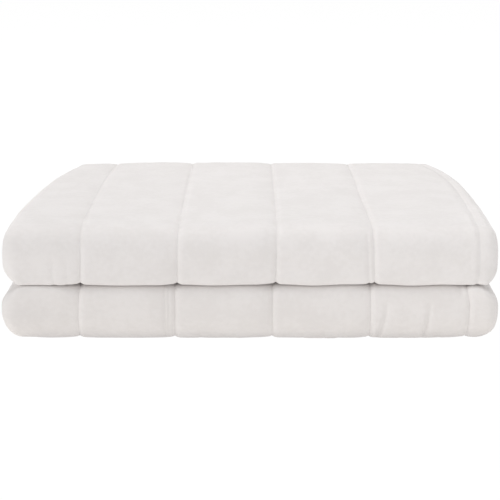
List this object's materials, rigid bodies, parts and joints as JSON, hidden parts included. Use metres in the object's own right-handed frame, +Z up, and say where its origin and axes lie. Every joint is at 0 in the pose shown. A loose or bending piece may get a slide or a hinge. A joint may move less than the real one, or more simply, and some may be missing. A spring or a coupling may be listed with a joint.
{
  "type": "folded weighted blanket",
  "caption": "Quilted weighted blanket folded into a low flat stack with rounded front folds and long sewn channels, for laying over a bed or lap or keeping on a shelf.",
  "frame": {"origin": "middle of the folded stack's footprint, on the surface it lies on", "axes": "+X across the stack to the right, +Y from the two front folds to the back fold, +Z up"},
  "size_m": [0.6088, 0.4722, 0.1454],
  "materials": {
    "plush": "soft short-pile plush, warm off-white, matt"
  },
  "bodies": {
    "root": {"blanket": "plush"}
  },
  "joints": []
}
